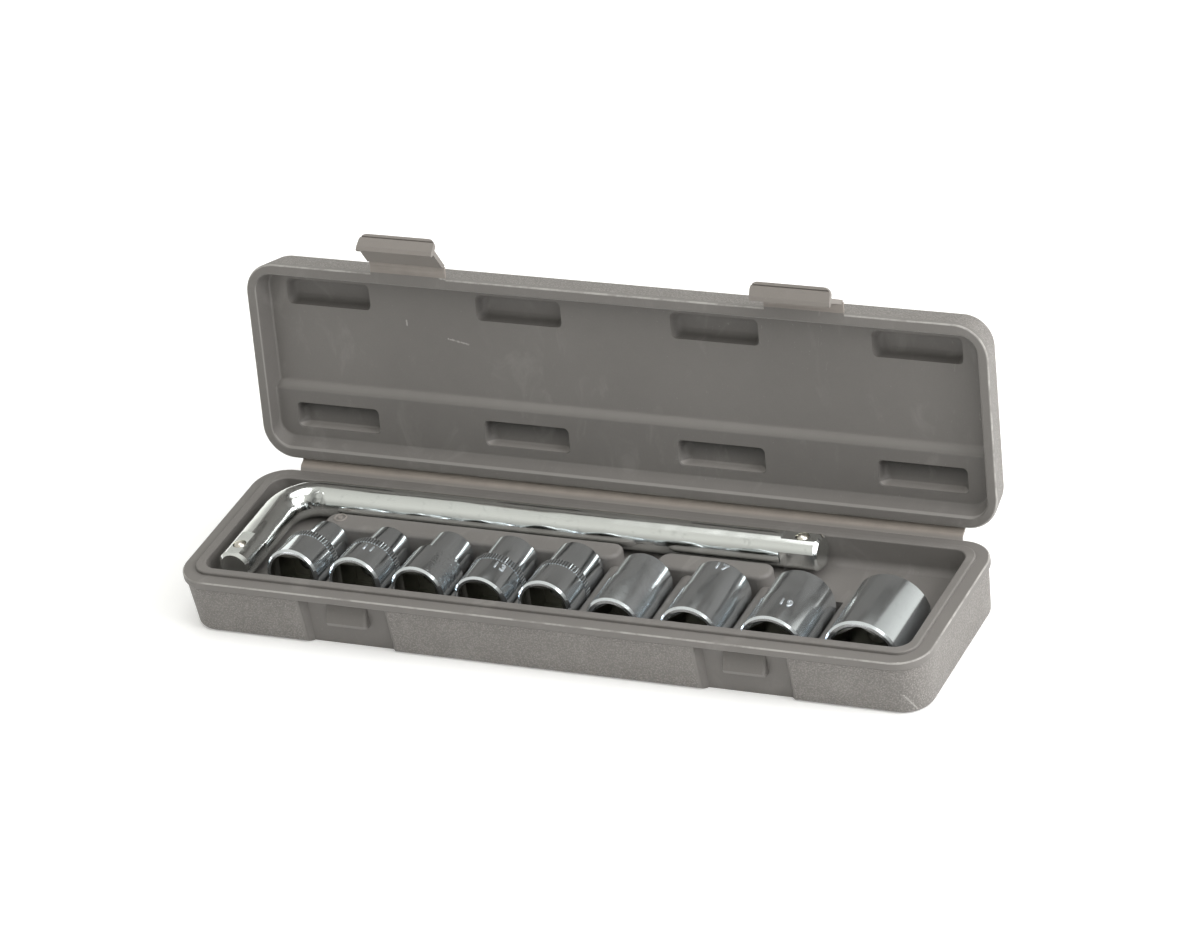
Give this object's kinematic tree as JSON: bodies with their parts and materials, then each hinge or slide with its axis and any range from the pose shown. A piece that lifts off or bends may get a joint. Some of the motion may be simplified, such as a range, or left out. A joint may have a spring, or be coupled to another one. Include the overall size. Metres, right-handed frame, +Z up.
{
  "type": "socket wrench set in case",
  "caption": "Bent bar wrench with square ends and metric sockets lying in the moulded tray of a hinged plastic case with two front latches.",
  "frame": {"origin": "middle of the case base's underside, on the surface it stands on", "axes": "+X along the case to the right, +Y towards the hinge, +Z up"},
  "size_m": [0.3082, 0.1109, 0.1268],
  "materials": {
    "case_plastic": "semi-matte moulded, leather grain outside",
    "hinge_film": "thin film, stress-whitened",
    "bar_plating": "bright zinc plating",
    "socket_chrome": "polished plating with a knurled band",
    "ball_steel": "polished",
    "spring_steel": "drawn wire"
  },
  "bodies": {
    "base": {"case_base": "case_plastic", "hinge_leaf_base": "hinge_film"},
    "lid": {"case_lid": "case_plastic", "hinge_leaf_lid": "hinge_film"},
    "latch_web_left": {"latch_web_left": "hinge_film"},
    "latch_flap_left": {"latch_flap_left": "case_plastic"},
    "latch_web_right": {"latch_web_right": "hinge_film"},
    "latch_flap_right": {"latch_flap_right": "case_plastic"},
    "wrench": {"wrench_bar": "bar_plating", "detent_spring_long": "spring_steel", "detent_spring_short": "spring_steel"},
    "detent_ball_long": {"detent_ball_long": "ball_steel"},
    "detent_ball_short": {"detent_ball_short": "ball_steel"},
    "socket_10": {"socket_10": "socket_chrome"},
    "socket_11": {"socket_11": "socket_chrome"},
    "socket_12": {"socket_12": "socket_chrome"},
    "socket_13": {"socket_13": "socket_chrome"},
    "socket_14": {"socket_14": "socket_chrome"},
    "socket_15": {"socket_15": "socket_chrome"},
    "socket_17": {"socket_17": "socket_chrome"},
    "socket_19": {"socket_19": "socket_chrome"},
    "socket_22": {"socket_22": "socket_chrome"}
  },
  "joints": [
    {"name": "lid_hinge", "type": "hinge", "parent": "base", "child": "lid", "pos_m": [0, 0.0428, 0.0259], "axis": [-1, 0, 0], "range_deg": [-99.4, 80]},
    {"name": "latch_web_left_fold", "type": "hinge", "parent": "lid", "child": "latch_web_left", "pos_m": [-0.082, 0.05494, 0.10903], "axis": [-1, 0, 0], "range_deg": [-90, 45]},
    {"name": "latch_flap_left_fold", "type": "hinge", "parent": "latch_web_left", "child": "latch_flap_left", "pos_m": [-0.082, 0.05564, 0.11328], "axis": [1, 0, 0], "range_deg": [-38, 47]},
    {"name": "latch_web_right_fold", "type": "hinge", "parent": "lid", "child": "latch_web_right", "pos_m": [0.082, 0.05494, 0.10903], "axis": [-1, 0, 0], "range_deg": [-90, 45]},
    {"name": "latch_flap_right_fold", "type": "hinge", "parent": "latch_web_right", "child": "latch_flap_right", "pos_m": [0.082, 0.05564, 0.11328], "axis": [1, 0, 0], "range_deg": [-66, 19]},
    {"name": "wrench_lift_out", "type": "slide", "parent": "base", "child": "wrench", "axis": [0, 0, 1], "range_m": [0, 0.06]},
    {"name": "detent_ball_long_press", "type": "slide", "parent": "wrench", "child": "detent_ball_long", "axis": [0, 0, 1], "range_m": [-0.001, 0], "stiffness_N_per_m": 1500, "deforming": ["detent_spring_long"]},
    {"name": "detent_ball_short_press", "type": "slide", "parent": "wrench", "child": "detent_ball_short", "axis": [0, 0, 1], "range_m": [-0.001, 0], "stiffness_N_per_m": 1500, "deforming": ["detent_spring_short"]},
    {"name": "socket_10_lift_out", "type": "slide", "parent": "base", "child": "socket_10", "axis": [0, 0, 1], "range_m": [0, 0.05]},
    {"name": "socket_11_lift_out", "type": "slide", "parent": "base", "child": "socket_11", "axis": [0, 0, 1], "range_m": [0, 0.05]},
    {"name": "socket_12_lift_out", "type": "slide", "parent": "base", "child": "socket_12", "axis": [0, 0, 1], "range_m": [0, 0.05]},
    {"name": "socket_13_lift_out", "type": "slide", "parent": "base", "child": "socket_13", "axis": [0, 0, 1], "range_m": [0, 0.05]},
    {"name": "socket_14_lift_out", "type": "slide", "parent": "base", "child": "socket_14", "axis": [0, 0, 1], "range_m": [0, 0.05]},
    {"name": "socket_15_lift_out", "type": "slide", "parent": "base", "child": "socket_15", "axis": [0, 0, 1], "range_m": [0, 0.05]},
    {"name": "socket_17_lift_out", "type": "slide", "parent": "base", "child": "socket_17", "axis": [0, 0, 1], "range_m": [0, 0.05]},
    {"name": "socket_19_lift_out", "type": "slide", "parent": "base", "child": "socket_19", "axis": [0, 0, 1], "range_m": [0, 0.05]},
    {"name": "socket_22_lift_out", "type": "slide", "parent": "base", "child": "socket_22", "axis": [0, 0, 1], "range_m": [0, 0.05]}
  ]
}
